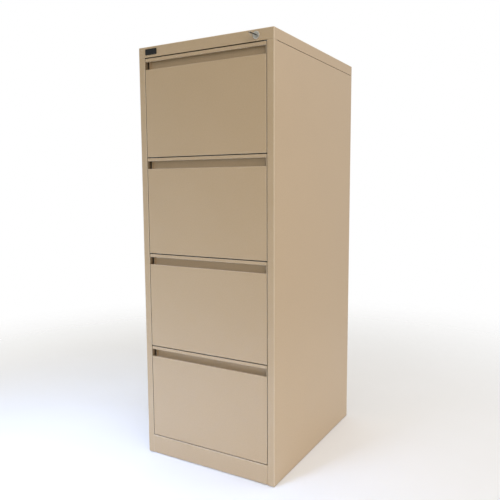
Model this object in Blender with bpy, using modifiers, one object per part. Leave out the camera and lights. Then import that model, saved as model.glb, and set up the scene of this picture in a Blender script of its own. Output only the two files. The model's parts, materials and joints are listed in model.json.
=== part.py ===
"""Four-drawer steel filing cabinet, in metres, +Z up, front facing -Y.

The origin is on the floor, under the middle of the overall box, which the key and its ring
make a little deeper than the case. Every sheet-metal piece is an open surface with a
Solidify modifier, drawn on its outer face, so its size is the size over the steel.
"""

import math

import bmesh
import bpy
from mathutils import Matrix, Vector

# ---- case --------------------------------------------------------------------------------
width = 0.478
depth = 0.610
height = 1.321
case_sheet = 0.0012
bend_radius = 0.0020
joint_gap = 0.0003
floor_gap = 0.0020
stile_width = 0.0225
stile_return = 0.0200
rear_flange = 0.0200
lid_skirt = 0.0325
lid_groove = 0.0016
groove_setback = 0.0150
plinth_top = 0.0630
plinth_depth = 0.0300
base_level = 0.0450
base_flange = 0.0200
back_flange = 0.0150
back_rise = 0.0220

# ---- uprights that carry the runners -----------------------------------------------------
upright_depth = 0.0280
upright_inset = 0.0070
front_upright_setback = 0.0450
rear_upright_setback = 0.0800

# ---- levelling feet ----------------------------------------------------------------------
foot_radius = 0.0140
foot_pad = 0.0060
foot_stud_radius = 0.0040
foot_stud_rise = 0.0080
foot_edge = 0.0010
foot_hole_clearance = 0.0005
foot_inset_x = 0.0440
foot_inset_y = 0.0520

# ---- drawers -----------------------------------------------------------------------------
drawer_count = 4
front_gap = 0.0030
side_gap = 0.0020
drawer_sheet = 0.0010
front_return = 0.0125
lip_height = 0.0095
lip_return = 0.0090
recess_height = 0.0240
recess_depth = 0.0175
face_hem = 0.0050
liner_flange = 0.0070
liner_end_gap = 0.0085
tub_lift = 0.0120
tub_headroom = 0.0406
tub_rear_room = 0.0585
rim_width = 0.0080
rim_hook = 0.0050

# ---- runners -----------------------------------------------------------------------------
runner_thickness = 0.0127
runner_height = 0.0450
runner_sheet = 0.0012
runner_end_room = 0.0300
runner_setback = 0.0300
runner_level = 0.0600
runner_ball_space = 0.0025
runner_web_space = 0.0012

# ---- lock, key and lock bar ----------------------------------------------------------------
lock_from_side = 0.0560
lock_below_top = 0.0165
lock_flange_radius = 0.0108
lock_flange_thickness = 0.0020
lock_flange_edge = 0.0005
barrel_radius = 0.0090
barrel_length = 0.0200
barrel_hole_clearance = 0.0003
plug_radius = 0.0060
plug_clearance = 0.0003
plug_tail = 0.0010
crank_radius = 0.0110
crank_pin_radius = 0.0020
crank_pin_clearance = 0.0005
cam_thickness = 0.0020
cam_hub_radius = 0.0080
cam_end_radius = 0.0036
lock_turn_angle = math.radians(90.0)
key_tilt = math.radians(20.0)
key_head_width = 0.0240
key_head_length = 0.0270
key_head_thickness = 0.0020
key_hole_radius = 0.0045
key_hole_from_end = 0.0072
key_blade_width = 0.0076
key_blade_thickness = 0.0018
key_blade_length = 0.0215
key_shoulder = 0.0040
key_tip_length = 0.0030
keyway_clearance = 0.0003
ring_radius = 0.0080
ring_wire_radius = 0.0007
ring_lean = math.radians(25.0)
ring_hang = math.radians(50.0)
bar_width = 0.0160
bar_thickness = 0.0030
bar_side_gap = 0.0018
bar_arm_margin = 0.0050
bar_foot_level = 0.1000
lug_reach = 0.0100
lug_height = 0.0080
lug_drop = 0.0050
catch_height = 0.0100
catch_thickness = 0.0020
catch_gap = 0.0015
catch_below_rim = 0.0500
guide_sheet = 0.0010
guide_clearance = 0.0005
guide_height = 0.0150
guide_below_lug = 0.0070

# ---- badge -------------------------------------------------------------------------------
badge_width = 0.0440
badge_height = 0.0180
badge_thickness = 0.0012
badge_corner = 0.0025
badge_inset = 0.0270

# ---- round shapes ------------------------------------------------------------------------
round_steps = 20
small_steps = 12
merge = 0.00001
fold_angle = math.radians(40.0)
smooth_angle = math.radians(35.0)

# ---- places worked out from the sizes ----------------------------------------------------
head_start = lock_flange_thickness + key_shoulder
hole_reach = head_start + key_head_length - key_hole_from_end
ring_reach = hole_reach + ring_radius * (1 + math.sin(ring_hang)) + ring_wire_radius
side_x = width / 2
front_y = (ring_reach - depth) / 2
back_y = front_y + depth
lid_bottom = height - lid_skirt
opening_x = side_x - stile_width
inner_x = side_x - case_sheet - joint_gap
back_sheet_y = back_y - case_sheet - joint_gap
drawer_pitch = (lid_bottom - plinth_top - front_gap) / drawer_count
front_height = drawer_pitch - front_gap
tub_height = front_height - tub_lift - tub_headroom
front_x = opening_x - side_gap
liner_x = front_x - liner_end_gap
liner_y = front_y + recess_depth
tub_y = liner_y + drawer_sheet + joint_gap
tub_length = back_sheet_y - case_sheet - tub_rear_room - tub_y
runner_length = tub_length - runner_end_room
upright_x = opening_x - upright_inset
runner_outer_x = upright_x - joint_gap
runner_inner_x = runner_outer_x - runner_thickness
tub_x = runner_inner_x - joint_gap
lock_x = side_x - lock_from_side
lock_z = height - lock_below_top
plug_back_y = front_y + barrel_length + plug_tail
cam_y = plug_back_y + joint_gap
bar_y = cam_y + cam_thickness + joint_gap
bar_x = inner_x - bar_side_gap
crank_swing = crank_radius * math.sin(lock_turn_angle / 2)
crank_near = crank_radius * math.cos(lock_turn_angle / 2)
pin_rest = Vector((lock_x + crank_near, 0.0, lock_z - crank_swing))

steel_paint = ("beige powder coat on steel", (0.47, 0.37, 0.25, 1.0), 0.42, 0.0)
zinc_steel = ("zinc plated steel", (0.62, 0.63, 0.64, 1.0), 0.34, 1.0)
nickel = ("nickel plated brass", (0.66, 0.63, 0.58, 1.0), 0.22, 1.0)
black_plastic = ("black moulded plastic", (0.012, 0.012, 0.013, 1.0), 0.38, 0.0)


# ---- building tools ----------------------------------------------------------------------
def clear_scene():
    for item in list(bpy.data.objects):
        bpy.data.objects.remove(item, do_unlink=True)


def new_collection(name):
    collection = bpy.data.collections.new(name)
    bpy.context.scene.collection.children.link(collection)
    return collection


def material_for(name, finish):
    """One Principled material per piece, from its finish."""
    label, colour, roughness, metallic = finish
    material = bpy.data.materials.new(f"{name}, {label}")
    material.use_nodes = True
    shader = material.node_tree.nodes["Principled BSDF"]
    shader.inputs["Base Color"].default_value = colour
    shader.inputs["Roughness"].default_value = roughness
    shader.inputs["Metallic"].default_value = metallic
    material.diffuse_color = colour
    return material


def object_from(bm, name, finish, collection):
    """A mesh object whose origin is in the middle of its own box."""
    low = Vector([min(v.co[i] for v in bm.verts) for i in range(3)])
    high = Vector([max(v.co[i] for v in bm.verts) for i in range(3)])
    middle = (low + high) / 2
    bmesh.ops.translate(bm, verts=bm.verts, vec=-middle)
    mesh = bpy.data.meshes.new(name)
    bm.to_mesh(mesh)
    bm.free()
    item = bpy.data.objects.new(name, mesh)
    item.location = middle
    collection.objects.link(item)
    if finish:
        mesh.materials.append(material_for(name, finish))
    return item


def as_cutter(item):
    item.hide_render = True
    item.display_type = "WIRE"
    return item


def cube_between(bm, low, high):
    corners = bmesh.ops.create_cube(bm, size=1.0)["verts"]
    low, high = Vector(low), Vector(high)
    bmesh.ops.scale(bm, vec=high - low, verts=corners)
    bmesh.ops.translate(bm, vec=(low + high) / 2, verts=corners)
    return corners


def box(name, low, high, finish, collection):
    bm = bmesh.new()
    cube_between(bm, low, high)
    return object_from(bm, name, finish, collection)


def cutter_box(name, low, high):
    return as_cutter(box(name, low, high, None, cutters))


def cylinder_along_y(bm, centre, radius, near, far, steps):
    """A closed round bar parallel to Y, from y = near to y = far."""
    made = bmesh.ops.create_cone(
        bm, cap_ends=True, segments=steps, radius1=radius, radius2=radius, depth=far - near
    )["verts"]
    bmesh.ops.rotate(bm, verts=made, matrix=Matrix.Rotation(math.radians(90), 3, "X"))
    place = Vector((centre[0], (near + far) / 2, centre[1]))
    bmesh.ops.translate(bm, verts=made, vec=place)


def add_bevel(item, radius):
    """Rounds the folds of an open sheet. Its free edges stay as they are."""
    bevel = item.modifiers.new("folds", "BEVEL")
    bevel.width = radius
    bevel.segments = 2
    bevel.limit_method = "ANGLE"
    bevel.angle_limit = fold_angle


def add_thickness(item, sheet):
    """Steel on the inner side of the drawn face."""
    wall = item.modifiers.new("sheet", "SOLIDIFY")
    wall.thickness = sheet
    wall.offset = -1.0
    wall.use_even_offset = True
    wall.use_quality_normals = True


def add_boolean(item, other, operation):
    cut = item.modifiers.new(operation.lower(), "BOOLEAN")
    cut.operation = operation
    cut.solver = "EXACT"
    cut.object = other


def smooth_rounds(item):
    item.data.shade_smooth()
    item.data.set_sharp_from_angle(angle=smooth_angle)


def bent_sheet(name, path, axis, start, end, sheet, radius, finish):
    """A strip bent along a path and run along one axis.

    The path holds (x, y) for axis Z, (y, z) for axis X and (x, z) for axis Y. The outer
    face is on the right of the path for Z and X, and on its left for Y.
    """
    folds = len(path) - 1
    bm = bmesh.new()
    grid = bmesh.ops.create_grid(bm, x_segments=folds, y_segments=1, size=1.0)["verts"]
    for vertex in grid:
        a, b = path[round((vertex.co.x + 1) / 2 * folds)]
        along = start if vertex.co.y < 0 else end
        if axis == "X":
            vertex.co = (along, a, b)
        elif axis == "Y":
            vertex.co = (a, along, b)
        else:
            vertex.co = (a, b, along)
    item = object_from(bm, name, finish, parts)
    if radius:
        add_bevel(item, radius)
    add_thickness(item, sheet)
    return item


def mirrored(path):
    """The same strip on the other side, still walked with its outer face on one hand."""
    return [(-a, b) for a, b in reversed(path)]


def pan(name, low, high, open_side, sheet, radius, finish):
    """A box of sheet steel without one face. open_side is that face's outward normal."""
    bm = bmesh.new()
    cube_between(bm, low, high)
    gone = [face for face in bm.faces if face.normal.dot(Vector(open_side)) > 0.9]
    bmesh.ops.delete(bm, geom=gone, context="FACES_ONLY")
    item = object_from(bm, name, finish, parts)
    if radius:
        add_bevel(item, radius)
    add_thickness(item, sheet)
    return item


def turned(name, profile, steps, finish):
    """A profile of (radius, height) pairs, outer side first from the top down, spun about Z."""
    bm = bmesh.new()
    points = [bm.verts.new((radius, 0.0, level)) for radius, level in profile]
    pairs = list(zip(points, points[1:]))
    if min(radius for radius, _ in profile) > 0:
        pairs.append((points[-1], points[0]))
    for first, second in pairs:
        bm.edges.new((first, second))
    mesh = bpy.data.meshes.new(name)
    bm.to_mesh(mesh)
    bm.free()
    item = bpy.data.objects.new(name, mesh)
    parts.objects.link(item)
    mesh.materials.append(material_for(name, finish))
    spin = item.modifiers.new("turned", "SCREW")
    spin.steps = steps
    spin.render_steps = steps
    spin.use_merge_vertices = True
    spin.merge_threshold = merge
    spin.use_smooth_shade = True
    return item


def arc(centre, radius, start, end, steps):
    """Points on a circle, from one angle to the other."""
    points = []
    for i in range(steps + 1):
        angle = start + (end - start) * i / steps
        points.append((centre[0] + radius * math.cos(angle), centre[1] + radius * math.sin(angle)))
    return points


def flat_plate(name, outlines, thickness, finish, collection):
    """A plate in its own XY plane, half its thickness each side. Inner outlines are holes."""
    curve = bpy.data.curves.new(name + "_outline", "CURVE")
    curve.dimensions = "2D"
    curve.fill_mode = "BOTH"
    curve.extrude = thickness / 2
    for outline in outlines:
        spline = curve.splines.new("POLY")
        spline.points.add(len(outline) - 1)
        spline.use_cyclic_u = True
        for point, (x, y) in zip(spline.points, outline):
            point.co = (x, y, 0.0, 1.0)
    drawn = bpy.data.objects.new(name + "_drawn", curve)
    collection.objects.link(drawn)
    view = bpy.context.evaluated_depsgraph_get()
    mesh = bpy.data.meshes.new_from_object(drawn.evaluated_get(view))
    bpy.data.objects.remove(drawn, do_unlink=True)
    bm = bmesh.new()
    bm.from_mesh(mesh)
    bmesh.ops.remove_doubles(bm, verts=bm.verts, dist=merge)
    bmesh.ops.recalc_face_normals(bm, faces=bm.faces)
    bm.to_mesh(mesh)
    bm.free()
    mesh.name = name
    mesh.materials.clear()
    item = bpy.data.objects.new(name, mesh)
    collection.objects.link(item)
    if finish:
        mesh.materials.append(material_for(name, finish))
    smooth_rounds(item)
    return item


def joint_empty(name, place):
    """The point that a moving body's pieces hang from."""
    empty = bpy.data.objects.new(name, None)
    empty.empty_display_size = 0.03
    empty.location = place
    parts.objects.link(empty)
    return empty


def attach(item, empty):
    """Parents a piece without moving it."""
    item.parent = empty
    item.matrix_parent_inverse = Matrix.Translation(-empty.location)


# ---- case --------------------------------------------------------------------------------
def make_side_panels():
    """Side, front stile and rear flange, folded from one sheet. A groove parts it from the lid."""
    path = [
        (opening_x, front_y + stile_return),
        (opening_x, front_y),
        (side_x, front_y),
        (side_x, back_y),
        (side_x - rear_flange, back_y),
    ]
    top = lid_bottom - joint_gap
    for side, line in (("left", mirrored(path)), ("right", path)):
        panel = bent_sheet(
            f"{side}_side_panel", line, "Z", floor_gap, top, case_sheet, bend_radius, steel_paint
        )
        sign = 1 if side == "right" else -1
        reach = sorted((sign * (side_x - rear_flange - case_sheet), sign * (side_x + case_sheet)))
        groove = cutter_box(
            f"{side}_lid_groove",
            (reach[0], front_y + groove_setback, lid_bottom - lid_groove),
            (reach[1], back_y + case_sheet, lid_bottom + lid_groove),
        )
        add_boolean(panel, groove, "DIFFERENCE")


def make_back_panel():
    """Back sheet inside the side panels' rear flanges, with its own top and bottom folds."""
    top = lid_bottom + back_rise
    path = [
        (back_sheet_y - back_flange, floor_gap),
        (back_sheet_y, floor_gap),
        (back_sheet_y, top),
        (back_sheet_y - back_flange, top),
    ]
    reach = inner_x - bend_radius
    bent_sheet("back_panel", path, "X", -reach, reach, case_sheet, bend_radius, steel_paint)


def make_lid():
    """The top: a shallow pan turned over, with the lock's hole in its front skirt."""
    lid = pan(
        "top_lid",
        (-side_x, front_y, lid_bottom),
        (side_x, back_y, height),
        (0, 0, -1),
        case_sheet,
        bend_radius,
        steel_paint,
    )
    bm = bmesh.new()
    hole_radius = barrel_radius + barrel_hole_clearance
    near = front_y - case_sheet
    far = front_y + 2 * case_sheet
    cylinder_along_y(bm, (lock_x, lock_z), hole_radius, near, far, round_steps)
    hole = as_cutter(object_from(bm, "lock_hole", None, cutters))
    smooth_rounds(hole)
    add_boolean(lid, hole, "DIFFERENCE")


def make_plinth_and_base():
    """The rail under the bottom drawer, and the pan that ties the uprights and holds the feet."""
    path = [
        (front_y + plinth_depth, plinth_top),
        (front_y, plinth_top),
        (front_y, floor_gap),
        (front_y + plinth_depth, floor_gap),
    ]
    reach = opening_x - joint_gap
    bent_sheet("plinth_rail", path, "X", -reach, reach, case_sheet, bend_radius, steel_paint)
    base = pan(
        "base_pan",
        (-inner_x, front_y + plinth_depth + joint_gap, base_level - base_flange),
        (inner_x, back_sheet_y - case_sheet - joint_gap, base_level),
        (0, 0, -1),
        case_sheet,
        0.0,
        steel_paint,
    )
    for name, x, y in foot_places():
        bm = bmesh.new()
        made = bmesh.ops.create_cone(
            bm,
            cap_ends=True,
            segments=small_steps,
            radius1=foot_stud_radius + foot_hole_clearance,
            radius2=foot_stud_radius + foot_hole_clearance,
            depth=4 * case_sheet,
        )["verts"]
        bmesh.ops.translate(bm, verts=made, vec=(x, y, base_level - case_sheet / 2))
        hole = as_cutter(object_from(bm, f"{name}_hole", None, cutters))
        smooth_rounds(hole)
        add_boolean(base, hole, "DIFFERENCE")


def foot_places():
    places = []
    for end, y in (("front", front_y + foot_inset_y), ("rear", back_y - foot_inset_y)):
        for side, sign in (("left", -1), ("right", 1)):
            places.append((f"{end}_{side}_foot", sign * (side_x - foot_inset_x), y))
    return places


def make_feet():
    """Levelling feet: a round pad on a stud that stands up through the base pan."""
    top = base_level + foot_stud_rise
    profile = [
        (0.0, top),
        (foot_stud_radius, top),
        (foot_stud_radius, foot_pad),
        (foot_radius - foot_edge, foot_pad),
        (foot_radius, foot_pad - foot_edge),
        (foot_radius, foot_edge),
        (foot_radius - foot_edge, 0.0),
        (0.0, 0.0),
    ]
    for name, x, y in foot_places():
        foot = turned(name, profile, small_steps, zinc_steel)
        foot.location = (x, y, 0.0)


def make_uprights():
    """Channels behind the side panels, open outwards. The runners are fixed to their webs."""
    bottom = base_level + joint_gap
    top = height - case_sheet - joint_gap
    rear = back_y - rear_upright_setback - upright_depth
    for end, y in (("front", front_y + front_upright_setback), ("rear", rear)):
        path = [
            (inner_x, y + upright_depth),
            (upright_x, y + upright_depth),
            (upright_x, y),
            (inner_x, y),
        ]
        for side, line in (("left", mirrored(path)), ("right", path)):
            bent_sheet(
                f"{end}_{side}_upright", line, "Z", bottom, top, case_sheet, 0.0, zinc_steel
            )


# ---- drawers -----------------------------------------------------------------------------
def drawer_bottom(number):
    """Level of a drawer front's lower edge. Drawer 1 is the top one."""
    return lid_bottom - number * drawer_pitch


def catch_bottom(number):
    """Level of the catch on a drawer's body."""
    return drawer_bottom(number) + tub_lift + tub_height - catch_below_rim


def make_front(number, empty):
    """Outer skin: lip on top, finger opening under it, then the flat face with its hem."""
    bottom = drawer_bottom(number)
    top = bottom + front_height
    lip_bottom = top - lip_height
    face_top = lip_bottom - recess_height
    name = f"drawer_{number}_front"
    front = pan(
        name,
        (-front_x, front_y, bottom),
        (front_x, front_y + front_return, top),
        (0, 1, 0),
        drawer_sheet,
        0.0,
        steel_paint,
    )
    reach = front_x - drawer_sheet
    opening = cutter_box(
        f"{name}_opening",
        (-reach, front_y - drawer_sheet, face_top),
        (reach, front_y + 2 * drawer_sheet, lip_bottom),
    )
    add_boolean(front, opening, "DIFFERENCE")
    folds = (("hem", face_hem, face_top - drawer_sheet), ("lip_fold", lip_return, lip_bottom))
    for fold, length, level in folds:
        strip = cutter_box(
            f"{name}_{fold}",
            (-reach - drawer_sheet / 2, front_y + drawer_sheet / 2, level),
            (reach + drawer_sheet / 2, front_y + length, level + drawer_sheet),
        )
        add_boolean(front, strip, "UNION")
    attach(front, empty)


def make_liner(number, empty):
    """Inner skin, which is also the back of the finger recess. Gaps stay open at its ends."""
    bottom = drawer_bottom(number)
    margin = drawer_sheet + joint_gap
    liner = pan(
        f"drawer_{number}_front_liner",
        (-liner_x, liner_y - liner_flange, bottom + margin),
        (liner_x, liner_y + drawer_sheet, bottom + front_height - margin),
        (0, -1, 0),
        drawer_sheet,
        0.0,
        steel_paint,
    )
    attach(liner, empty)


def make_tub(number, empty):
    """Open-topped body with rails for hanging files, and the catch that the lock bar holds.

    The rails' steel lies on the upper and outer side of their drawn face.
    """
    low = drawer_bottom(number) + tub_lift
    high = low + tub_height - drawer_sheet
    out = rim_width - drawer_sheet
    bm = bmesh.new()
    cube_between(bm, (-tub_x, tub_y, low), (tub_x, tub_y + tub_length, high))
    gone = [face for face in bm.faces if face.normal.z > 0.9]
    bmesh.ops.delete(bm, geom=gone, context="FACES_ONLY")
    for sign in (-1, 1):
        edges = [
            edge
            for edge in bm.edges
            if edge.is_boundary and all(v.co.x * sign > tub_x / 2 for v in edge.verts)
        ]
        for step in (Vector((sign * out, 0, 0)), Vector((0, 0, -rim_hook))):
            made = bmesh.ops.extrude_edge_only(bm, edges=edges)["geom"]
            moved = [item for item in made if isinstance(item, bmesh.types.BMVert)]
            bmesh.ops.translate(bm, verts=moved, vec=step)
            edges = [
                item
                for item in made
                if isinstance(item, bmesh.types.BMEdge)
                and abs(item.verts[0].co.y - item.verts[1].co.y) > tub_length / 2
            ]
    tub = object_from(bm, f"drawer_{number}_body", steel_paint, parts)
    add_thickness(tub, drawer_sheet)
    catch_y = bar_y + bar_thickness + catch_gap
    level = catch_bottom(number)
    catch = cutter_box(
        f"drawer_{number}_catch",
        (tub_x - drawer_sheet / 2, catch_y, level),
        (opening_x - lug_reach / 2, catch_y + catch_thickness, level + catch_height),
    )
    add_boolean(tub, catch, "UNION")
    attach(tub, empty)


def make_runners(number, drawer_empty, runner_empty):
    """Telescopic runners: the outer on the uprights, the middle, and the inner on the drawer."""
    level = drawer_bottom(number) + tub_lift + runner_level
    near = front_y + runner_setback
    far = near + runner_length
    step = runner_sheet + runner_ball_space
    outer_half = runner_height / 2
    middle_half = outer_half - step
    inner_half = middle_half - step
    middle_x = runner_outer_x - runner_sheet - runner_web_space
    tip_x = runner_inner_x + runner_sheet + runner_web_space
    outer = [
        (tip_x, level + outer_half),
        (runner_outer_x, level + outer_half),
        (runner_outer_x, level - outer_half),
        (tip_x, level - outer_half),
    ]
    middle = [
        (tip_x, level + middle_half),
        (middle_x, level + middle_half),
        (middle_x, level - middle_half),
        (tip_x, level - middle_half),
    ]
    inner_tip = middle_x - runner_sheet - runner_web_space
    inner = [
        (inner_tip, level - inner_half),
        (runner_inner_x, level - inner_half),
        (runner_inner_x, level + inner_half),
        (inner_tip, level + inner_half),
    ]
    members = (
        ("outer", outer, None),
        ("middle", middle, runner_empty),
        ("inner", inner, drawer_empty),
    )
    for member, path, empty in members:
        for side, line in (("left", mirrored(path)), ("right", path)):
            strip = bent_sheet(
                f"drawer_{number}_runner_{member}_{side}",
                line,
                "Y",
                near,
                far,
                runner_sheet,
                0.0,
                zinc_steel,
            )
            if empty:
                attach(strip, empty)


def make_drawers():
    for number in range(1, drawer_count + 1):
        middle = drawer_bottom(number) + front_height / 2
        drawer = joint_empty(f"drawer_{number}_slide_point", (0, front_y, middle))
        runner = joint_empty(f"runner_{number}_slide_point", (0, front_y + runner_setback, middle))
        make_front(number, drawer)
        make_liner(number, drawer)
        make_tub(number, drawer)
        make_runners(number, drawer, runner)


# ---- lock and key -------------------------------------------------------------------------
def make_lock_housing():
    """Barrel with a round flange, from the front. The plug turns in its bore."""
    bore = plug_radius + plug_clearance
    profile = [
        (lock_flange_radius - lock_flange_edge, lock_flange_thickness + joint_gap),
        (lock_flange_radius, lock_flange_thickness),
        (lock_flange_radius, joint_gap),
        (barrel_radius, joint_gap),
        (barrel_radius, -barrel_length),
        (bore, -barrel_length),
        (bore, lock_flange_thickness + joint_gap),
    ]
    housing = turned("lock_housing", profile, round_steps, nickel)
    housing.location = (lock_x, front_y, lock_z)
    housing.rotation_euler = (math.radians(90), 0, 0)


def make_lock_plug(empty):
    """Round plug with a keyway from its front face."""
    length = lock_flange_thickness + (plug_back_y - front_y)
    profile = [
        (0.0, lock_flange_thickness),
        (plug_radius, lock_flange_thickness),
        (plug_radius, lock_flange_thickness - length),
        (0.0, lock_flange_thickness - length),
    ]
    plug = turned("lock_plug", profile, round_steps, nickel)
    plug.location = (lock_x, front_y, lock_z)
    plug.rotation_euler = (math.radians(90), 0, 0)
    half_width = key_blade_width / 2 + keyway_clearance
    half_height = key_blade_thickness / 2 + keyway_clearance
    far = key_blade_length - head_start + keyway_clearance
    slot = cutter_box(
        "keyway", (-half_width, -head_start, -half_height), (half_width, far, half_height)
    )
    slot.data.transform(Matrix.Translation(slot.location))
    slot.location = (lock_x, front_y, lock_z)
    slot.rotation_euler = (0, key_tilt, 0)
    add_boolean(plug, slot, "DIFFERENCE")
    attach(plug, empty)


def make_lock_cam(empty):
    """Plate behind the plug with a crank pin, which lifts the lock bar as it turns."""
    rest = -lock_turn_angle / 2
    spread = math.acos((cam_hub_radius - cam_end_radius) / crank_radius)
    hub = arc((0, 0), cam_hub_radius, rest + spread, rest + 2 * math.pi - spread, round_steps)
    end_centre = (crank_radius * math.cos(rest), crank_radius * math.sin(rest))
    end = arc(end_centre, cam_end_radius, rest - spread, rest + spread, small_steps)
    cam = flat_plate("lock_cam", [hub + end], cam_thickness, zinc_steel, parts)
    cam.location = (lock_x, cam_y + cam_thickness / 2, lock_z)
    cam.rotation_euler = (math.radians(90), 0, 0)
    bm = bmesh.new()
    cylinder_along_y(
        bm,
        (pin_rest.x, pin_rest.z),
        crank_pin_radius,
        cam_y + cam_thickness / 2,
        bar_y + bar_thickness + joint_gap,
        small_steps,
    )
    pin = as_cutter(object_from(bm, "crank_pin", None, cutters))
    smooth_rounds(pin)
    add_boolean(cam, pin, "UNION")
    attach(cam, empty)


def make_key(empty):
    """The key in the lock: an oval head with a hole, in front, and a blade that goes in."""
    middle = key_head_length / 2
    outline = []
    for i in range(round_steps):
        angle = 2 * math.pi * i / round_steps
        x = key_head_width / 2 * math.cos(angle)
        outline.append((x, -middle + middle * math.sin(angle)))
    hole_y = key_hole_from_end - key_head_length
    last = 2 * math.pi * (1 - 1 / small_steps)
    hole = arc((0, hole_y), key_hole_radius, 0, last, small_steps - 1)
    key = flat_plate("key", [outline, hole], key_head_thickness, black_plastic, parts)
    half = key_blade_width / 2
    blade_outline = [
        (-half, -key_shoulder),
        (half, -key_shoulder),
        (half, key_blade_length - key_tip_length),
        (0.0, key_blade_length),
        (-half, key_blade_length - key_tip_length),
    ]
    blade = flat_plate("key_blade", [blade_outline], key_blade_thickness, None, cutters)
    as_cutter(blade)
    add_boolean(key, blade, "UNION")
    blade.parent = key
    key.location = (lock_x, front_y - head_start, lock_z)
    key.rotation_euler = (0, key_tilt, 0)
    attach(key, empty)


def make_key_ring(empty):
    """A wire ring that hangs forward from the hole in the key's head."""
    ring_up = Vector((-math.sin(ring_lean), 0, math.cos(ring_lean)))
    forward = Vector((0, -1, 0))
    hole_centre = Vector((lock_x, front_y - hole_reach, lock_z))
    ring_centre = hole_centre + ring_radius * (
        math.sin(ring_hang) * forward - math.cos(ring_hang) * ring_up
    )
    bpy.ops.mesh.primitive_torus_add(
        major_radius=ring_radius,
        minor_radius=ring_wire_radius,
        major_segments=24,
        minor_segments=8,
        location=ring_centre,
        rotation=(0, math.radians(90) - ring_lean, 0),
    )
    ring = bpy.context.active_object
    ring.name = "key_ring"
    ring.data.name = "key_ring"
    for collection in list(ring.users_collection):
        collection.objects.unlink(ring)
    parts.objects.link(ring)
    ring.data.materials.append(material_for("key_ring", nickel))
    smooth_rounds(ring)
    attach(ring, empty)


def make_lock_bar(empty):
    """Bar behind the right stile: an arm on the crank pin, and a lug under each drawer's catch."""
    left = bar_x - bar_width
    arm_low = pin_rest.z - bar_arm_margin
    arm_high = pin_rest.z + bar_arm_margin
    arm_left = lock_x + crank_near - crank_pin_radius - bar_arm_margin
    outline = [
        (left, bar_foot_level),
        (bar_x, bar_foot_level),
        (bar_x, arm_high),
        (arm_left, arm_high),
        (arm_left, arm_low),
        (left, arm_low),
    ]
    lug_left = opening_x - lug_reach
    for number in range(1, drawer_count + 1):
        lug_top = catch_bottom(number) - lug_drop
        lug_bottom = lug_top - lug_height
        outline += [
            (left, lug_top),
            (lug_left, lug_top),
            (lug_left, lug_bottom),
            (left, lug_bottom),
        ]
    slot_radius = crank_pin_radius + crank_pin_clearance
    quarter = math.pi / 2
    half_steps = small_steps // 2
    slot = arc((lock_x + crank_radius, pin_rest.z), slot_radius, -quarter, quarter, half_steps)
    slot += arc((pin_rest.x, pin_rest.z), slot_radius, quarter, 3 * quarter, half_steps)
    bar = flat_plate("lock_bar", [outline, slot], bar_thickness, zinc_steel, parts)
    bar.location = (0, bar_y + bar_thickness / 2, 0)
    bar.rotation_euler = (math.radians(90), 0, 0)
    attach(bar, empty)


def make_bar_guides():
    """Staples on the front right upright that hold the lock bar loosely."""
    left = bar_x - bar_width - guide_clearance - guide_sheet
    right = bar_x + guide_clearance + guide_sheet
    near = bar_y - guide_clearance - guide_sheet
    far = front_y + front_upright_setback - joint_gap
    path = [(left, far), (left, near), (right, near), (right, far)]
    for name, number in (("lower", drawer_count), ("upper", 1)):
        top = catch_bottom(number) - lug_drop - lug_height - guide_below_lug
        bent_sheet(
            f"{name}_bar_guide", path, "Z", top - guide_height, top, guide_sheet, 0.0, zinc_steel
        )


def make_badge():
    """A blank plate on the lid's front skirt."""
    left = -side_x + badge_inset
    low = height - lid_skirt / 2 - badge_height / 2
    far = front_y - joint_gap
    bm = bmesh.new()
    near = far - badge_thickness
    cube_between(bm, (left, near, low), (left + badge_width, far, low + badge_height))
    corners = [e for e in bm.edges if abs(e.verts[0].co.y - e.verts[1].co.y) > badge_thickness / 2]
    bmesh.ops.bevel(bm, geom=corners, offset=badge_corner, segments=3, profile=0.5, affect="EDGES")
    object_from(bm, "badge_plate", black_plastic, parts)


def make_lock():
    lock_point = Vector((lock_x, front_y, lock_z))
    turning = joint_empty("lock_turn_point", lock_point)
    ring_point = joint_empty("key_ring_hang_point", lock_point)
    lifting = joint_empty("lock_bar_slide_point", (bar_x - bar_width / 2, bar_y, bar_foot_level))
    make_lock_housing()
    make_lock_plug(turning)
    make_lock_cam(turning)
    make_key(turning)
    make_key_ring(ring_point)
    make_lock_bar(lifting)
    make_bar_guides()


clear_scene()
parts = new_collection("filing_cabinet")
cutters = new_collection("cutters")
make_side_panels()
make_back_panel()
make_lid()
make_plinth_and_base()
make_feet()
make_uprights()
make_drawers()
make_badge()
make_lock()
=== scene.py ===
"""A steel filing cabinet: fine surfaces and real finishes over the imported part.

Metres, +Z up, drawer fronts facing -Y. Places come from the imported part's boxes and from the
lock's joint.
"""

import json
import math

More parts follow.
